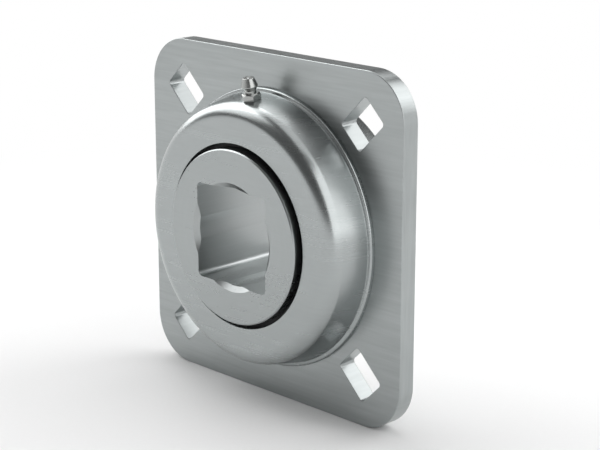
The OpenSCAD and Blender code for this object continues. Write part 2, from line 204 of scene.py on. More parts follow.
class RingSizes(bpy.types.PropertyGroup):
    """Sizes of the inner ring and its bore."""
    radius: length("Radius", "Outside radius of the inner ring", INNER_HIGH.x)
    half_width: length("Half Width", "Half the ring's width", MIDDLE_Y - INNER_LOW.y)
    chamfer: length("Chamfer", "Chamfer on the outside edges", 0.5 * MM)
    race_ratio: share("Race Ratio", "Raceway radius as a share of the ball diameter", 0.52)
    race_gap: length("Race Gap", "Clearance under a ball", 0.02 * MM)
    bore: length("Bore", "Square bore across its flats", 38.5 * MM)
    bore_corner_radius: length("Bore Corner Radius", "Corner radius of the bore", 2 * MM)
    pilot_past: length("Pilot Past", "Reach of the round pilot bore past the flats", 0.55 * MM)
    lead_in: length("Lead In", "Reach of the lead-in past the flats", 2.65 * MM)
    lead_in_depth: length("Lead In Depth", "Depth of the lead-in", 1.7 * MM)
    edge_round: length("Edge Round", "Round on the outside edges", 0.12 * MM)
    outer_corner: length("Outer Corner", "Corner radius of the outer ring", 4.5 * MM)
    grease_hole: length("Grease Hole", "Radius of a grease hole", 1.2 * MM)


class SealSizes(bpy.types.PropertyGroup):
    """Sizes of the pressed shrouds and their rubber lips."""
    radius: length("Radius", "Outside radius of a shroud", SHROUD_HIGH.x)
    face: length("Face", "Depth of a shroud's face", MIDDLE_Y - SHROUD_LOW.y)
    shoulder: length("Shoulder", "Depth of a shroud's inner end", MIDDLE_Y - SHROUD_HIGH.y)
    sheet: length("Sheet", "Sheet thickness of a shroud", 1 * MM)
    lip_reach: length("Lip Reach", "Reach of the rubber past the shroud", 2.2 * MM)
    lip_gap: length("Lip Gap", "Clearance at the lip edges", 0.05 * MM)
    web: length("Web", "Thickness of the rubber web", 1.2 * MM)
    lip: length("Lip", "Thickness of one lip", 1 * MM)
    lip_lean: length("Lip Lean", "Lean of a lip along the bore", 1.2 * MM)
    lip_edge: length("Lip Edge", "Half thickness of a lip's edge", 0.3 * MM)
    edge_round: length("Edge Round", "Round on a shroud's edges", 0.2 * MM)
    corner_round: length("Corner Round", "Round on a shroud's corner", 0.6 * MM)
    lip_round: length("Lip Round", "Round on the rubber's edges", 0.12 * MM)


class NippleSizes(bpy.types.PropertyGroup):
    """Sizes of the grease nipple, with heights over the cup."""
    height: length("Height", "Height of the nipple", 8.7 * MM)
    hexagon: length("Hexagon", "Hexagon across its flats", 7 * MM)
    hexagon_height: length("Hexagon Height", "Height of the hexagon", 2.7 * MM)
    hexagon_chamfer: length("Hexagon Chamfer", "Height of the hexagon's cone", 0.9 * MM)
    hexagon_run: length("Hexagon Run", "Reach of the cone past the flats", 0.3 * MM)
    hexagon_turn: angle("Hexagon Turn", "Turn about the nipple's axis", 29)
    neck_radius: length("Neck Radius", "Radius of the neck", 2.3 * MM)
    neck_height: length("Neck Height", "Height of the neck", 1 * MM)
    under_head: length("Under Head", "Height of the cone under the head", 1.7 * MM)
    head_radius: length("Head Radius", "Largest radius of the head", 3.35 * MM)
    top_radius: length("Top Radius", "Radius of the flat on top", 2.2 * MM)
    shank_radius: length("Shank Radius", "Radius of the shank", 3 * MM)
    shank_length: length("Shank Length", "Length of the shank", 2.6 * MM)
    channel_radius: length("Channel Radius", "Radius of the channel", 0.8 * MM)
    chamber_radius: length("Chamber Radius", "Radius of the ball's chamber", 1.3 * MM)
    chamber_floor: length("Chamber Floor", "Height of the chamber's floor", 1.6 * MM)
    hole_radius: length("Hole Radius", "Radius of the hole in the head", 0.75 * MM)
    hole_length: length("Hole Length", "Length of the hole in the head", 0.35 * MM)
    edge_round: length("Edge Round", "Round on the small edges", 0.12 * MM)


class Finishes(bpy.types.PropertyGroup):
    """Colours and gloss of the metals and the rubber."""
    plate: colour("Plate", "Colour of the plate", (0.385, 0.408, 0.408))
    cup: colour("Cup", "Colour of the cups", (0.400, 0.424, 0.424))
    ring: colour("Ring", "Colour of the rings", (0.390, 0.413, 0.413))
    bore: colour("Bore", "Colour of the broached bore", (0.400, 0.420, 0.420))
    nipple: colour("Nipple", "Colour of the nipple", (0.400, 0.410, 0.400))
    ball: colour("Ball", "Colour of the balls", (0.640, 0.650, 0.660))
    cage: colour("Cage", "Colour of the cage", (0.420, 0.410, 0.380))
    shroud: colour("Shroud", "Colour of the shrouds", (0.030, 0.031, 0.033))
    rubber: colour("Rubber", "Colour of the rubber lips", (0.012, 0.012, 0.013))
    plate_roughness: share("Plate Roughness", "Roughness of the plate", 0.30)
    cup_roughness: share("Cup Roughness", "Roughness of the cups", 0.27)
    ring_roughness: share("Ring Roughness", "Roughness of the rings", 0.28)
    bore_roughness: share("Bore Roughness", "Roughness of the bore", 0.30)
    nipple_roughness: share("Nipple Roughness", "Roughness of the nipple", 0.20)
    rivet_roughness: share("Rivet Roughness", "Roughness of the rivets", 0.28)
    ball_roughness: share("Ball Roughness", "Roughness of the balls", 0.09)
    spring_roughness: share("Spring Roughness", "Roughness of the spring", 0.22)
    cage_roughness: share("Cage Roughness", "Roughness of the cage", 0.36)
    shroud_roughness: share("Shroud Roughness", "Roughness of the shrouds", 0.42)
    rubber_roughness: share("Rubber Roughness", "Roughness of the rubber lips", 0.62)
    plate_grain: share("Plate Grain", "Strength of the plate's level grain", 1.0)
    cup_grain: share("Cup Grain", "Strength of the cups' level grain", 0.45)


class StudioSettings(bpy.types.PropertyGroup):
    """The camera, the lamps and the backdrop."""
    azimuth: angle("Azimuth", "Direction of the camera round the object", 45.1)
    elevation: angle("Elevation", "Height of the camera over the horizon", 15.57)
    distance: length("Distance", "Distance of the camera from its aim", 0.665)
    aim: bpy.props.FloatVectorProperty(
        name="Aim", description="Point that the camera looks at",
        default=(0.0082, 0.0005, 0.0010), subtype="TRANSLATION", unit="LENGTH")
    lens: bpy.props.FloatProperty(
        name="Lens", description="Focal length in millimetres", default=100.34,
        min=1.0, unit="CAMERA")
    left_lamp: share("Left Lamp", "Brightness of the left softbox", 2.8, 20.0)
    left_front_lamp: share("Left Front Lamp", "Brightness of the front left softbox", 1.7, 20.0)
    right_lamp: share("Right Lamp", "Brightness of the right softbox", 1.7, 20.0)
    back_lamp: share("Back Lamp", "Brightness of the softbox behind the right side", 2.2, 20.0)
    back_left_lamp: share("Back Left Lamp", "Brightness of the softbox behind the left side", 1.35, 20.0)
    top_lamp: share("Top Lamp", "Brightness of the overhead panel", 0.85, 20.0)
    room: share("Room", "Brightness of the room around the lamps", 0.12)
    floor: colour("Floor", "Colour of the floor", (0.84, 0.84, 0.84))


class BearingSettings(bpy.types.PropertyGroup):
    """All the settings of the bearing and its studio."""
    plate: bpy.props.PointerProperty(type=PlateSizes, name="Plate")
    cup: bpy.props.PointerProperty(type=CupSizes, name="Cups")
    ring: bpy.props.PointerProperty(type=RingSizes, name="Inner Ring")
    seal: bpy.props.PointerProperty(type=SealSizes, name="Seals")
    nipple: bpy.props.PointerProperty(type=NippleSizes, name="Grease Nipple")
    finish: bpy.props.PointerProperty(type=Finishes, name="Finishes")
    studio: bpy.props.PointerProperty(type=StudioSettings, name="Studio")


class Value:
    """A shader socket that arithmetic turns into Math nodes."""

    def __init__(self, graph, socket):
        self.graph = graph
        self.socket = socket

    def calculate(self, operation, *values):
        """Adds one Math node."""
        return self.graph.node(
            "ShaderNodeMath", {"operation": operation}, dict(enumerate(values)))

    def __add__(self, other):
        return self.calculate("ADD", self, other)

    def __sub__(self, other):
        return self.calculate("SUBTRACT", self, other)

    def __rsub__(self, other):
        return self.calculate("SUBTRACT", other, self)

    def __mul__(self, other):
        return self.calculate("MULTIPLY", self, other)

    def __abs__(self):
        return self.calculate("ABSOLUTE", self)

    def larger(self, other):
        """The larger of two values."""
        return self.calculate("MAXIMUM", self, other)

    def fade(self, low, high):
        """A smooth step from 0 at low to 1 at high."""
        return self.graph.node("ShaderNodeMapRange", {"interpolation_type": "SMOOTHSTEP"}, {
            "Value": self, "From Min": low, "From Max": high, "To Min": 0.0, "To Max": 1.0})

    __radd__ = __add__
    __rmul__ = __mul__


class Graph:
    """The node tree of one material or of the world."""

    def __init__(self, owner):
        owner.use_nodes = True
        self.tree = owner.node_tree
        self.tree.nodes.clear()

    def node(self, kind, settings=None, sockets=None, output=0):
        """Adds a node, sets it, fills its sockets and returns one of its outputs."""
        node = self.tree.nodes.new(kind)
        for name, value in (settings or {}).items():
            setattr(node, name, value)
        for name, value in (sockets or {}).items():
            if isinstance(value, Value):
                self.tree.links.new(value.socket, node.inputs[name])
            else:
                node.inputs[name].default_value = value
        return Value(self, node.outputs[output]) if node.outputs else node

    def place(self, output="Object"):
        """Where a point is on the object, or its normal."""
        return self.node("ShaderNodeTexCoord", output=output)

    def part(self, vector, name):
        """The X, Y or Z of a vector."""
        return self.node("ShaderNodeSeparateXYZ", sockets={"Vector": vector}, output=name)

    def noise(self, grain, detail=3.0, softness=0.55, at=None):
        """Noise with so many features a metre along X, Y and Z."""
        scaled = self.node("ShaderNodeMapping", sockets={
            "Vector": at or self.place(), "Scale": grain})
        return self.node("ShaderNodeTexNoise", sockets={
            "Vector": scaled, "Scale": 1.0, "Detail": detail, "Roughness": softness},
            output="Fac")

    def blend(self, factor, first, second):
        """Mixes two colours."""
        return self.node("ShaderNodeMix", {"data_type": "RGBA"},
                         {0: factor, 6: first, 7: second}, 2)

    def choose(self, factor, first, second):
        """Mixes two values."""
        return second * factor + first * (1 - factor)

    def bump(self, height, depth):
        """A normal from a height, where a height of 1 stands depth metres proud."""
        return self.node("ShaderNodeBump", sockets={"Height": height, "Distance": depth})


def shaded(tone, factor):
    """A colour made lighter or darker, with its alpha."""
    return (*(min(1.0, part * factor) for part in tone), 1.0)


def new_material(name):
    """An empty node material and its graph."""
    material = bpy.data.materials.new(name)
    return material, Graph(material)


def metal(graph, tone, roughness, texture, tone_spread, gloss_spread, height, depth):
    """Ends a metal's graph. The texture lies around 0.5."""
    contrast = (texture - 0.5) * 2.0
    shader = graph.node("ShaderNodeBsdfPrincipled", sockets={
        "Metallic": 1.0,
        "Base Color": graph.blend(
            (contrast * 0.5 + 0.5).fade(0.0, 1.0),
            shaded(tone, 1 - tone_spread), shaded(tone, 1 + tone_spread)),
        "Roughness": contrast * gloss_spread + roughness,
        "Normal": graph.bump(height, depth)})
    graph.node("ShaderNodeOutputMaterial", sockets={"Surface": shader})


def brushed_steel(name, tone, roughness, strength, upright_sides=False):
    """Sheet steel with a fine level grain, which can turn upright on the side edges."""
    material, graph = new_material(name)
    fine = graph.noise(FINE_GRAIN, 1.0)
    long = graph.noise(LONG_GRAIN, 2.0)
    if upright_sides:
        side = abs(graph.part(graph.place("Normal"), "X")).fade(*SIDE_NORMALS)
        fine = graph.choose(side, fine, graph.noise(UPRIGHT_FINE_GRAIN, 2.0))
        long = graph.choose(side, long, graph.noise(UPRIGHT_LONG_GRAIN, 3.0))
    cloud = graph.noise(SHEET_CLOUDS, 3.0, 0.6)
    texture = fine * 0.30 + long * 0.38 + cloud * 0.32
    metal(graph, tone, roughness, texture, 0.20 * strength, 0.07 * strength,
          fine * 0.6 + long * 0.4, 0.0002 * MM * strength)
    return material


def turned_steel(name, tone, roughness):
    """Ring steel, ground round the bore, with the level grain of the other faces."""
    material, graph = new_material(name)
    radius = graph.node("ShaderNodeVectorMath", {"operation": "LENGTH"}, {
        0: graph.node("ShaderNodeMapping", sockets={
            "Vector": graph.place(), "Scale": (1, 0, 1)})}, "Value")
    depth = graph.part(graph.place(), "Y")
    around = graph.node("ShaderNodeCombineXYZ", sockets={"X": radius, "Y": depth, "Z": 0.0})
    turning = graph.noise(TURNING_GRAIN, 2.0, 0.6, around)
    fine = graph.noise(FINE_GRAIN, 1.0)
    cloud = graph.noise(RING_CLOUDS, 3.0, 0.6)
    texture = turning * 0.25 + fine * 0.30 + cloud * 0.45
    metal(graph, tone, roughness, texture, 0.06, 0.03, turning * 0.5 + fine * 0.5, 0.0001 * MM)
    return material


def broached_steel(name, tone, roughness):
    """The walls of the bore, with tool marks along the bore."""
    material, graph = new_material(name)
    marks = graph.noise(BROACH_MARKS, 3.0)
    broad = graph.noise(BROACH_BANDS, 2.0)
    texture = marks * 0.6 + broad * 0.4
    metal(graph, tone, roughness, texture, 0.08, 0.08, marks, 0.002 * MM)
    return material


def bright_steel(name, tone, roughness):
    """Small turned parts, with tool marks round the nipple's axis."""
    material, graph = new_material(name)
    upright = graph.node("ShaderNodeMapping", sockets={
        "Vector": graph.place(), "Rotation": (-NIPPLE_LEAN, 0, 0)})
    marks = graph.noise(LATHE_MARKS, 2.0, 0.6, upright)
    speckle = graph.noise((2400, 2400, 2400), 2.0)
    texture = marks * 0.5 + speckle * 0.5
    metal(graph, tone, roughness, texture, 0.10, 0.08, texture, 0.002 * MM)
    return material


def polished_steel(name, tone, roughness):
    """Lapped balls, with faint cloudy scuffs."""
    material, graph = new_material(name)
    scuffs = graph.noise((900, 900, 900), 4.0, 0.65)
    cloud = graph.noise((260, 260, 260), 2.0)
    texture = scuffs * 0.5 + cloud * 0.5
    metal(graph, tone, roughness, texture, 0.05, 0.06, scuffs, 0.0006 * MM)
    return material


def pressed_steel(name, tone, roughness):
    """Plain pressed strip, with a mottled surface and rolling marks."""
    material, graph = new_material(name)
    mottle = graph.noise((1500, 1500, 1500), 3.0, 0.6)
    patches = graph.noise((140, 140, 140), 3.0, 0.55)
    texture = mottle * 0.45 + patches * 0.55
    metal(graph, tone, roughness, texture, 0.16, 0.14, mottle, 0.004 * MM)
    return material


def dull(name, tone, roughness, grain, depth):
    """A dark surface that isn't bare metal: near-black sheet or moulded rubber."""
    material, graph = new_material(name)
    speckle = graph.noise((grain, grain, grain), 3.0, 0.6)
    patches = graph.noise((180, 180, 180), 2.0)
    texture = speckle * 0.6 + patches * 0.4
    shader = graph.node("ShaderNodeBsdfPrincipled", sockets={
        "Base Color": graph.blend(texture.fade(0.3, 0.7), shaded(tone, 0.8), shaded(tone, 1.25)),
        "Roughness": texture * 0.2 + (roughness - 0.1),
        "Normal": graph.bump(speckle, depth)})
    graph.node("ShaderNodeOutputMaterial", sockets={"Surface": shader})
    return material


def deselect_all():
    """Leaves edit mode and drops the selection, with the frame's nodes in it."""
    if bpy.context.mode != "OBJECT":
        bpy.ops.object.mode_set(mode="OBJECT")
    bpy.ops.object.select_all(action="DESELECT")


def select_only(piece):
    """Makes one piece the whole selection."""
    deselect_all()
    piece.select_set(True)
    bpy.context.view_layer.objects.active = piece


def named(name):
    """Gives the primitive that was just added its name."""
    piece = bpy.context.active_object
    piece.name = name
    piece.data.name = name
    return piece


def rounded(corners):
    """The points of a closed outline of (radius, depth, round) corners."""
    points = []
    for i, (x, y, fillet) in enumerate(corners):
        corner = Vector((x, y))
        if fillet == 0:
            points.append(corner)
            continue
        before = (Vector(corners[i - 1][:2]) - corner).normalized()
        after = (Vector(corners[(i + 1) % len(corners)][:2]) - corner).normalized()
        opening = before.angle(after)
        reach = fillet / math.tan(opening / 2)
        centre = corner + (before + after).normalized() * fillet / math.sin(opening / 2)
        start = corner + before * reach - centre
        sweep = -start.angle_signed(corner + after * reach - centre)
        steps = max(2, math.ceil(abs(sweep) / ARC_STEP))
        for step in range(steps + 1):
            points.append(centre + Matrix.Rotation(sweep * step / steps, 2) @ start)
    return points


def lathe(name, outline, centre, along, out, steps=TURN_STEPS):
    """Turns a closed outline of (radius, depth) points about a line through the centre."""
    centre, along, out = Vector(centre), Vector(along), Vector(out)
    places = [centre + out * point[0] + along * point[1] for point in outline]
    deselect_all()
    bpy.ops.mesh.primitive_circle_add(vertices=3, radius=MM, location=places[0])
    piece = named(name)
    bpy.ops.object.transform_apply(location=True, rotation=True, scale=True)
    bpy.ops.object.mode_set(mode="EDIT")
    bpy.ops.mesh.select_mode(type="VERT")
    bpy.ops.mesh.select_all(action="SELECT")
    bpy.ops.mesh.merge(type="CENTER")
    for start, end in zip(places, places[1:] + places[:1]):
        bpy.ops.mesh.extrude_region_move(TRANSFORM_OT_translate={"value": end - start})
    bpy.ops.mesh.select_all(action="SELECT")
    bpy.ops.mesh.remove_doubles(threshold=MERGE_DISTANCE)
    bpy.ops.mesh.select_all(action="SELECT")
    bpy.ops.mesh.spin(steps=steps, angle=math.tau, center=centre, axis=along)
    bpy.ops.mesh.select_all(action="SELECT")
    bpy.ops.mesh.remove_doubles(threshold=MERGE_DISTANCE)
    bpy.ops.mesh.normals_make_consistent(inside=False)
    bpy.ops.object.mode_set(mode="OBJECT")
    return piece


def bevel(piece, wanted, radius, steps):
    """Rounds the edges whose two ends and direction are wanted."""
    select_only(piece)
    bpy.ops.object.mode_set(mode="EDIT")
    bpy.ops.mesh.select_mode(type="EDGE")
    bpy.ops.mesh.select_all(action="DESELECT")
    bpy.ops.object.mode_set(mode="OBJECT")
    vertices = piece.data.vertices
    for edge in piece.data.edges:
        ends = [vertices[i].co for i in edge.vertices]
        edge.select = wanted(*ends)
    bpy.ops.object.mode_set(mode="EDIT")
    bpy.ops.mesh.bevel(offset=radius, offset_type="OFFSET", segments=steps,
                       affect="EDGES", clamp_overlap=True)
    bpy.ops.mesh.select_all(action="SELECT")
    bpy.ops.mesh.remove_doubles(threshold=MERGE_DISTANCE)
    bpy.ops.object.mode_set(mode="OBJECT")


def block(name, width, depth, height, corner, steps, place=(0, 0, 0), turn=0.0):
    """A block with its four edges along Y rounded."""
    deselect_all()
    bpy.ops.mesh.primitive_cube_add(size=1, location=place, rotation=(0, turn, 0))
    piece = named(name)
    piece.scale = (width, depth, height)
    bpy.ops.object.transform_apply(location=True, rotation=True, scale=True)
    bevel(piece, lambda a, b: abs(a.y - b.y) > depth / 2, corner, steps)
    return piece


def cylinder(name, radius, depth, centre, rotation, sides=TURN_STEPS):
    """A cutter round its own Z."""
    deselect_all()
    bpy.ops.mesh.primitive_cylinder_add(
        vertices=sides, radius=radius, depth=depth, location=centre, rotation=rotation)
    piece = named(name)
    bpy.ops.object.transform_apply(location=True, rotation=True, scale=True)
    return piece


def combine(piece, tools, operation="DIFFERENCE"):
    """Cuts the tools from the piece, or joins them to it, and removes them."""
    for tool in tools:
        select_only(piece)
        change = piece.modifiers.new("Change", "BOOLEAN")
        change.operation = operation
        change.solver = "EXACT"
        change.object = tool
        bpy.ops.object.modifier_apply(modifier=change.name)
        mesh = tool.data
        bpy.data.objects.remove(tool)
        bpy.data.meshes.remove(mesh)


def complete(piece, materials, body, replaced, second_where=None):
    """Smooths a piece, paints it and ties it to the frame."""
    if not piece.data.polygons:
        raise RuntimeError(f"{piece.name} came out empty")
    select_only(piece)
    bpy.ops.object.shade_smooth_by_angle(angle=SHARP)
    weights = piece.modifiers.new("Face Weights", "WEIGHTED_NORMAL")
    weights.keep_sharp = True
    bpy.ops.object.modifier_apply(modifier=weights.name)
    piece.data.materials.clear()
    for material in materials:
        piece.data.materials.append(material)
    for face in piece.data.polygons:
        face.material_index = int(bool(second_where and second_where(face)))
    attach(piece, body)
    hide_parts(replaced)


def bearing_side(name):
    """The centre, direction and start of a turned piece on one side."""
    return (0, MIDDLE_Y, 0), (0, SIDES[name], 0), (0, 0, 1)


def settings():
    """The bearing's settings in the open scene."""
    return bpy.context.scene.flange_bearing


class BuildPlate(bpy.types.Operator):
    """Models the square plate with its round seats and four slots"""
    bl_idname = "bearing.build_plate"
    bl_label = "Slotted Plate"

    def execute(self, context):
        plate, cup, tones = settings().plate, settings().cup, settings().finish
        half = plate.thickness / 2
        piece = block("slotted_plate", plate.width, plate.thickness, plate.width,
                      plate.corner_radius, CORNER_STEPS, (0, MIDDLE_Y, 0))
        bevel(piece, lambda a, b: abs(a.y - b.y) < MERGE_DISTANCE,
              plate.edge_round, EDGE_STEPS)
        tools = [cylinder("centre_hole", OUTER_HIGH.x + FIT, 3 * plate.thickness,
                          (0, MIDDLE_Y, 0), ALONG_Y)]
        for side in SIDES.values():
            tools.append(cylinder(
                "seat", cup.foot_radius + FIT, plate.thickness,
                (0, MIDDLE_Y + side * (cup.seat + half), 0), ALONG_Y))
        for across in (-1, 1):
            for up in (-1, 1):
                tools.append(block(
                    "slot", plate.slot_length, 3 * plate.thickness, plate.slot_width,
                    plate.slot_corner_radius, SLOT_CORNER_STEPS,
                    (across * plate.slot_pitch / 2, MIDDLE_Y, up * plate.slot_pitch / 2),
                    -across * up * math.radians(45)))
        combine(piece, tools)
        reach = plate.slot_length / 2 + MM
        centre = plate.slot_pitch / 2

        def slot_rim(a, b):
            middle = (a + b) / 2
            return (abs(a.y - b.y) < MERGE_DISTANCE
                    and abs(abs(a.y - MIDDLE_Y) - half) < MERGE_DISTANCE
                    and on_slot(a) and on_slot(b) and on_slot(middle))

        def on_slot(point):
            x, z = abs(point.x) - centre, abs(point.z) - centre
            long, short = abs(x + z) / math.sqrt(2), abs(x - z) / math.sqrt(2)
            past_long = long - plate.slot_length / 2 + plate.slot_corner_radius
            past_short = short - plate.slot_width / 2 + plate.slot_corner_radius
            edge = math.hypot(max(past_long, 0), max(past_short, 0))
            inside = min(max(past_long, past_short), 0)
            return abs(edge + inside - plate.slot_corner_radius) < RIM_TOLERANCE

        bevel(piece, slot_rim, plate.slot_edge_round, SMALL_EDGE_STEPS)
        complete(piece, [brushed_steel("brushed_plate_steel", tones.plate,
                                       tones.plate_roughness, tones.plate_grain, True)],
                 "housing", "flange_plate")
        return {"FINISHED"}


def cup_outline(cup):
    """Half section of a pressed cup: foot, leaning wall, shoulder and face."""
    lean = math.tan(cup.lean)
    slant = 1 / math.cos(cup.lean)
    shoulder = cup.foot_radius - cup.foot_lip
    wall_at_face = shoulder - (cup.face - PLATE_HALF) * lean
    foot_top = cup.seat + cup.sheet
    wall_at_foot = shoulder - (foot_top - PLATE_HALF) * lean
    root = wall_at_foot + cup.foot_hollow * (slant - lean)
    rim = foot_top - (cup.foot_radius - root) * math.tan(cup.foot_slope)
    inside = cup.face - cup.sheet
    inner_at_inside = shoulder - (inside - PLATE_HALF) * lean - cup.sheet * slant
    inner_at_seat = shoulder - (cup.seat - PLATE_HALF) * lean - cup.sheet * slant
    return rounded([
        (cup.opening_radius, cup.face, cup.edge_round),
        (wall_at_face, cup.face, cup.shoulder_radius),
        (wall_at_foot, foot_top, cup.foot_hollow),
        (root, foot_top, 0), (cup.foot_radius, rim, cup.foot_round),
        (cup.foot_radius, cup.seat, cup.edge_round),
        (inner_at_seat, cup.seat, cup.sheet - cup.foot_hollow),
        (inner_at_inside, inside, cup.shoulder_radius - cup.sheet),
        (cup.opening_radius, inside, cup.edge_round)])


class BuildCups(bpy.types.Operator):
    """Models the two pressed cups that hold the bearing between them"""
    bl_idname = "bearing.build_cups"
    bl_label = "Pressed Cups"

    def execute(self, context):
        cup, nipple, tones = settings().cup, settings().nipple, settings().finish
        material = brushed_steel("brushed_cup_steel", tones.cup, tones.cup_roughness,
                                 tones.cup_grain)
        for side in SIDES:
            piece = lathe(f"{side}_pressed_cup", cup_outline(cup), *bearing_side(side))
            if side == "front":
                combine(piece, [cylinder(
                    "nipple_hole", nipple.shank_radius + FIT, 4 * nipple.shank_length,
                    nipple_base(nipple), (NIPPLE_LEAN, 0, 0), NIPPLE_STEPS)])
            complete(piece, [material], "housing", f"{side}_cup")
        return {"FINISHED"}


def nipple_base(nipple):
    """Where the nipple's axis meets the front cup's wall."""
    return NIPPLE_TIP - NIPPLE_AXIS * nipple.height


class BuildInnerRing(bpy.types.Operator):
    """Models the inner ring with its raceway and its square bore"""
    bl_idname = "bearing.build_inner_ring"
    bl_label = "Inner Ring"

    def execute(self, context):
        ring, tones = settings().ring, settings().finish
        piece = lathe("bored_inner_ring", ring_outline(ring), *bearing_side("front"))
        flat = ring.bore / 2
        tools = [block("bore", ring.bore, 3 * ring.half_width, ring.bore,
                       ring.bore_corner_radius, SLOT_CORNER_STEPS, (0, MIDDLE_Y, 0))]
        pilot = flat + ring.pilot_past
        mouth = flat + ring.lead_in
        start = ring.half_width - ring.lead_in_depth
        flare = mouth + (mouth - pilot) * MM / ring.lead_in_depth
        tools.append(lathe("pilot", [
            Vector(point) for point in (
                (0, ring.half_width + MM), (flare, ring.half_width + MM), (pilot, start),
                (pilot, -start), (flare, -ring.half_width - MM),
                (0, -ring.half_width - MM))], *bearing_side("front")))
        combine(piece, tools)

        def in_bore(face):
            centre, normal = face.center, face.normal
            reach = max(abs(centre.x), abs(centre.z))
            across = math.hypot(centre.x, centre.z)
            return across < ring.radius - ring.chamfer - MM and (
                abs(normal.y) < FLAT_NORMAL and reach < ring.radius * BORE_REACH)

        complete(piece, [turned_steel("ground_ring_steel", tones.ring, tones.ring_roughness),
                         broached_steel("broached_bore_steel", tones.bore,
                                        tones.bore_roughness)],
                 "inner_ring", "inner_ring", in_bore)
        return {"FINISHED"}


def groove_outline(ring, land, side):
    """A raceway's arc between its lands, inside (-1) or outside (1) the balls."""
    race = 2 * BALL_RADIUS * ring.race_ratio
    centre = BALL_PITCH + side * (BALL_RADIUS + ring.race_gap - race)
    sweep = math.acos(side * (land - centre) / race)
    return [(centre + side * race * math.cos(sweep * step / RACE_STEPS),
             race * math.sin(sweep * step / RACE_STEPS), 0)
            for step in range(RACE_STEPS, -RACE_STEPS - 1, -1)]


def ring_outline(ring):
    """Half section of the inner ring, with its raceway and a core left to be bored."""
    half, edge = ring.half_width, ring.chamfer
    groove = groove_outline(ring, ring.radius, -1)
    core = ring.bore / 4
    soft = ring.edge_round
    return rounded([
        (core, half, 0), (ring.radius - edge, half, soft), (ring.radius, half - edge, soft),
        *groove,
        (ring.radius, edge - half, soft), (ring.radius - edge, -half, soft),
        (core, -half, 0)])


class BuildOuterRing(bpy.types.Operator):
    """Models the outer ring with its raceway, seal seats and grease holes"""
    bl_idname = "bearing.build_outer_ring"
    bl_label = "Outer Ring"

    def execute(self, context):
        ring, seal, tones = settings().ring, settings().seal, settings().finish
        land = 2 * BALL_PITCH - ring.radius
        groove = groove_outline(ring, land, 1)
        piece = lathe("ground_outer_ring", outer_ring_outline(ring, seal, groove),
                      *bearing_side("front"))
        reach = (land + OUTER_HIGH.x) / 2
        tools = []
        for side in SIDES.values():
            depth = MIDDLE_Y + side * (groove[0][1] + seal.shoulder) / 2
            for turn in range(GREASE_HOLES_A_SIDE):
                turned = math.tau * turn / GREASE_HOLES_A_SIDE
                tools.append(cylinder(
                    "grease_hole", ring.grease_hole, OUTER_HIGH.x - land + MM,
                    (reach * math.sin(turned), depth, reach * math.cos(turned)),
                    (0, turned, 0), NIPPLE_STEPS))
        combine(piece, tools)
        complete(piece, [turned_steel("ground_outer_ring_steel", tones.ring,
                                      tones.ring_roughness)],
                 "housing", "outer_ring")
        return {"FINISHED"}


def outer_ring_outline(ring, seal, groove):
    """Half section of the outer ring, from one seal seat round to the other."""
    half = MIDDLE_Y - OUTER_LOW.y
    land = groove[0][0]
    seat = seal.radius + FIT
    return rounded([
        (OUTER_HIGH.x, half, ring.outer_corner), (seat, half, 0),
        (seat, seal.shoulder, 0), (land, seal.shoulder, 0), *groove,
        (land, -seal.shoulder, 0), (seat, -seal.shoulder, 0),
        (seat, -half, 0), (OUTER_HIGH.x, -half, ring.outer_corner)])


class BuildSeals(bpy.types.Operator):
    """Models the pressed shrouds and the rubber lips in both ends of the bearing"""
    bl_idname = "bearing.build_seals"
    bl_label = "Seals"

    def execute(self, context):
        seal, ring, tones = settings().seal, settings().ring, settings().finish
        # The shrouds get a plain near-black colour.
        sheet = dull("blackened_shroud_steel", tones.shroud, tones.shroud_roughness,
                     1600, 0.004 * MM)
        rubber = dull("moulded_lip_rubber", tones.rubber, tones.rubber_roughness,
                      2600, 0.010 * MM)
        for side in SIDES:
            shroud = lathe(f"{side}_shroud", shroud_outline(seal, ring), *bearing_side(side))
            complete(shroud, [sheet], "housing", f"{side}_seal_shroud")
            lips = lathe(f"{side}_lip_rubber", lips_outline(seal, ring), *bearing_side(side))
            complete(lips, [rubber], "housing", f"{side}_seal_lips")
        return {"FINISHED"}


def shroud_outline(seal, ring):
    """Half section of a shroud: a rim in the outer ring and a web towards the bore."""
    web_end = ring.radius + seal.lip_reach
    edge = seal.edge_round
    return rounded([
        (web_end, seal.face, edge), (seal.radius, seal.face, seal.corner_round),
        (seal.radius, seal.shoulder, edge), (seal.radius - seal.sheet, seal.shoulder, edge),
        (seal.radius - seal.sheet, seal.face - seal.sheet, 0),
        (web_end, seal.face - seal.sheet, edge)])


def lips_outline(seal, ring):
    """Half section of the rubber: a web under the shroud, a hub and three lips."""
    root = ring.radius + seal.lip_reach
    tip = ring.radius + seal.lip_gap
    hub = root + seal.web
    web_low = seal.face - seal.sheet - seal.web
    deep = seal.shoulder + seal.lip + seal.lip_lean
    middle = (deep + web_low) / 2
    edge = seal.lip_edge
    soft = seal.lip_round
    lean = seal.lip_lean
    return rounded([
        (seal.radius - seal.sheet, seal.face - seal.sheet, 0),
        (seal.radius - seal.sheet, web_low, soft),
        (hub, web_low, soft),
        (hub, deep - seal.lip, soft),
        (tip, deep - lean - edge, soft), (tip, deep - lean + edge, soft),
        (root, deep - lip_drop(lean, edge, root, tip, hub), soft),
        (root, middle - seal.lip - lip_drop(lean, edge, root, tip, hub), soft),
        (tip, middle - lean - edge, soft), (tip, middle - lean + edge, soft),
        (root, middle - lip_drop(lean, edge, root, tip, hub), soft),
        (root, web_low, soft),
        (tip, seal.face - edge, soft), (tip, seal.face + edge, soft),
        (root, seal.face, 0), (root, seal.face - seal.sheet, 0)])


def lip_drop(lean, edge, root, tip, hub):
    """How far a lip's upper face lies under its root where it leaves the hub."""
    return (lean - edge) * (hub - root) / (hub - tip)


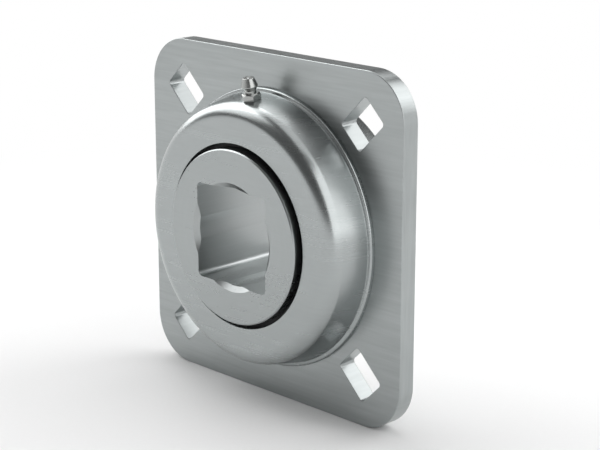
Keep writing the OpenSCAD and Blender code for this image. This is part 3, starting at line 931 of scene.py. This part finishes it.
class BuildNipple(bpy.types.Operator):
    """Models the grease nipple: shank, hexagon, neck and head with its hole"""
    bl_idname = "bearing.build_nipple"
    bl_label = "Grease Nipple"

    def execute(self, context):
        nipple, tones = settings().nipple, settings().finish
        base = nipple_base(nipple)
        out = Vector((1, 0, 0))
        body = lathe("nipple_body", nipple_outline(nipple), base, NIPPLE_AXIS, out,
                     NIPPLE_STEPS)
        corner = nipple.hexagon / 2 / math.cos(HALF_SIDE)
        turned = (Matrix.Rotation(NIPPLE_LEAN, 3, "X")
                  @ Matrix.Rotation(nipple.hexagon_turn - HALF_SIDE, 3, "Z"))
        hexagon = cylinder("hexagon", corner, nipple.hexagon_height,
                           base + NIPPLE_AXIS * nipple.hexagon_height / 2,
                           turned.to_euler(), 6)
        run = nipple.hexagon / 2 - nipple.hexagon_run
        slope = (corner + FIT - run) / nipple.hexagon_chamfer
        height = nipple.hexagon_height
        cone = lathe("hexagon_cone", [
            Vector((run - slope * MM, height + MM)),
            Vector((run + slope * (nipple.hexagon_chamfer + MM),
                    height - nipple.hexagon_chamfer - MM)),
            Vector((run + slope * (nipple.hexagon_chamfer + MM), -MM)),
            Vector((nipple.shank_radius - MM, -MM)),
            Vector((nipple.shank_radius - MM, height + MM))],
            base, NIPPLE_AXIS, out, NIPPLE_STEPS)
        combine(hexagon, [cone], "INTERSECT")
        bevel(hexagon, lambda a, b: hexagon_corner(a, b, nipple), nipple.edge_round,
              SMALL_EDGE_STEPS)
        combine(body, [hexagon], "UNION")
        complete(body, [bright_steel("plated_nipple_steel", tones.nipple,
                                     tones.nipple_roughness)],
                 "housing", "grease_nipple")
        return {"FINISHED"}


def hexagon_corner(a, b, nipple):
    """Whether an edge is one of the hexagon's upright corners."""
    edge = b - a
    base = nipple_base(nipple)
    away = (a - base) - NIPPLE_AXIS * (a - base).dot(NIPPLE_AXIS)
    return (abs(edge.dot(NIPPLE_AXIS)) > 0.95 * edge.length
            and edge.length > 0.2 * nipple.hexagon_height
            and away.length > nipple.hexagon / 2 + MM / 4)


def nipple_outline(nipple):
    """Half section of the nipple's turned body, with its channel and chamber."""
    hexagon = nipple.hexagon_height
    neck = hexagon + nipple.neck_height
    widest = neck + nipple.under_head
    top = nipple.height
    chamber_top = top - nipple.hole_length
    soft = nipple.edge_round
    return rounded([
        (nipple.channel_radius, -nipple.shank_length, soft),
        (nipple.shank_radius, -nipple.shank_length, soft),
        (nipple.shank_radius, hexagon / 2, 0), (nipple.neck_radius, hexagon / 2, 0),
        (nipple.neck_radius, neck, 2 * soft), (nipple.head_radius, widest, 4 * soft),
        (nipple.top_radius, top, 2 * soft), (nipple.hole_radius, top, soft),
        (nipple.hole_radius, chamber_top, 0), (nipple.chamber_radius, chamber_top, 0),
        (nipple.chamber_radius, nipple.chamber_floor, 0),
        (nipple.channel_radius, nipple.chamber_floor, 0)])


class FinishInnerParts(bpy.types.Operator):
    """Gives the balls, cage, rivets and spring their metals"""
    bl_idname = "bearing.finish_inner_parts"
    bl_label = "Inner Parts"

    def execute(self, context):
        tones = settings().finish
        cage = pressed_steel("pressed_cage_steel", tones.cage, tones.cage_roughness)
        rivet = bright_steel("rivet_steel", tones.nipple, tones.rivet_roughness)
        lapped = polished_steel("lapped_ball_steel", tones.ball, tones.ball_roughness)
        wire = bright_steel("drawn_spring_wire", tones.ball, tones.spring_roughness)
        choices = {"front_cage_half": cage, "rear_cage_half": cage,
                   "cage_rivets": rivet, "nipple_check_ball": lapped, "nipple_spring": wire}
        for name, node in frame["nodes"].items():
            if name.startswith("ball_"):
                choices[name] = lapped
            if name in choices:
                node.data.materials.clear()
                node.data.materials.append(choices[name])
        return {"FINISHED"}


def direction(azimuth, elevation):
    """The way to something round the object: 0 is the front, -Y, and 90 is +X."""
    return Vector((math.sin(azimuth) * math.cos(elevation),
                   -math.cos(azimuth) * math.cos(elevation), math.sin(elevation)))


def softbox(name, azimuth, elevation, distance, width, height, radiance):
    """A soft lamp that faces the object."""
    towards = direction(math.radians(azimuth), math.radians(elevation))
    bpy.ops.object.light_add(
        type="AREA", location=towards * distance,
        rotation=(-towards).to_track_quat("-Z", "Y").to_euler())
    lamp = named(name).data
    lamp.shape = "RECTANGLE"
    lamp.size, lamp.size_y = width, height
    lamp.energy = radiance * math.pi * width * height


class SetStage(bpy.types.Operator):
    """Adds the floor, the lamps, the room and the camera"""
    bl_idname = "bearing.set_stage"
    bl_label = "Stage"

    def execute(self, context):
        studio = settings().studio
        deselect_all()
        bpy.ops.mesh.primitive_plane_add(size=FLOOR_SIZE, location=(0, 0, PLATE_LOW.z))
        floor = named("floor")
        bpy.ops.object.transform_apply(location=True)
        floor.data.materials.append(floor_paper("floor_paper", studio.floor))

        for *placing, setting in SOFTBOXES:
            softbox(*placing, getattr(studio, setting))
        light_room(context.scene, studio.room)

        away = direction(studio.azimuth, studio.elevation)
        bpy.ops.object.camera_add(
            location=Vector(studio.aim) + away * studio.distance,
            rotation=(math.radians(90) - studio.elevation, 0, studio.azimuth))
        camera = named("camera")
        camera.data.lens = studio.lens
        camera.data.sensor_width = SENSOR_WIDTH
        camera.data.clip_start = CLIP_START
        context.scene.camera = camera
        context.scene.view_settings.view_transform = "Standard"
        return {"FINISHED"}


def floor_paper(name, tone):
    """White paper, lit near the object and plain white to the eye further off."""
    material, graph = new_material(name)
    place = graph.place()
    grain = graph.noise(PAPER_GRAIN, 2.0)
    paper = graph.node("ShaderNodeBsdfPrincipled", sockets={
        "Base Color": graph.blend(grain, shaded(tone, 0.985), shaded(tone, 1.015)),
        "Roughness": 0.7, "Specular IOR Level": 0.2})
    white = graph.node("ShaderNodeEmission", sockets={"Color": (1, 1, 1, 1), "Strength": 1.0})
    reach = graph.node("ShaderNodeVectorMath", {"operation": "LENGTH"}, {0: place}, "Value")
    far = reach.fade(*WHITE_FLOOR_FADE)
    seen = graph.node("ShaderNodeLightPath", output="Is Camera Ray").larger(
        graph.node("ShaderNodeLightPath", output="Is Glossy Ray")).larger(
        graph.node("ShaderNodeLightPath", output="Is Transmission Ray"))
    mixed = graph.node("ShaderNodeMixShader", sockets={0: far * seen, 1: paper, 2: white})
    graph.node("ShaderNodeOutputMaterial", sockets={"Surface": mixed})
    return material


def light_room(scene, strength):
    """A dim room over a white horizon, which meets the floor's white."""
    world = bpy.data.worlds.new("studio_room")
    scene.world = world
    graph = Graph(world)
    up = graph.part(graph.place("Generated"), "Z")
    low, high = (math.sin(math.radians(edge)) for edge in HORIZON_FADE)
    room = graph.node("ShaderNodeBackground", sockets={
        "Color": (1, 1, 1, 1), "Strength": graph.choose(up.fade(low, high), 1.0, strength)})
    graph.node("ShaderNodeOutputWorld", sockets={"Surface": room})


STEPS = [BuildPlate, BuildCups, BuildInnerRing, BuildOuterRing, BuildSeals, BuildNipple,
         FinishInnerParts, SetStage]


class BearingPanel(bpy.types.Panel):
    """The build steps of the bearing"""
    bl_label = "Flange Bearing"
    bl_idname = "VIEW3D_PT_flange_bearing"
    bl_space_type = "VIEW_3D"
    bl_region_type = "UI"
    bl_category = "Bearing"

    def draw(self, context):
        for step in STEPS:
            self.layout.operator(step.bl_idname)


CLASSES = [PlateSizes, CupSizes, RingSizes, SealSizes, NippleSizes, Finishes,
           StudioSettings, BearingSettings, *STEPS, BearingPanel]


def register():
    for item in CLASSES:
        bpy.utils.register_class(item)
    bpy.types.Scene.flange_bearing = bpy.props.PointerProperty(type=BearingSettings)


def unregister():
    del bpy.types.Scene.flange_bearing
    for item in reversed(CLASSES):
        bpy.utils.unregister_class(item)


def main():
    register()
    bpy.ops.bearing.build_plate()
    bpy.ops.bearing.build_cups()
    bpy.ops.bearing.build_inner_ring()
    bpy.ops.bearing.build_outer_ring()
    bpy.ops.bearing.build_seals()
    bpy.ops.bearing.build_nipple()
    bpy.ops.bearing.finish_inner_parts()
    bpy.ops.bearing.set_stage()


if __name__ == "__main__":
    main()
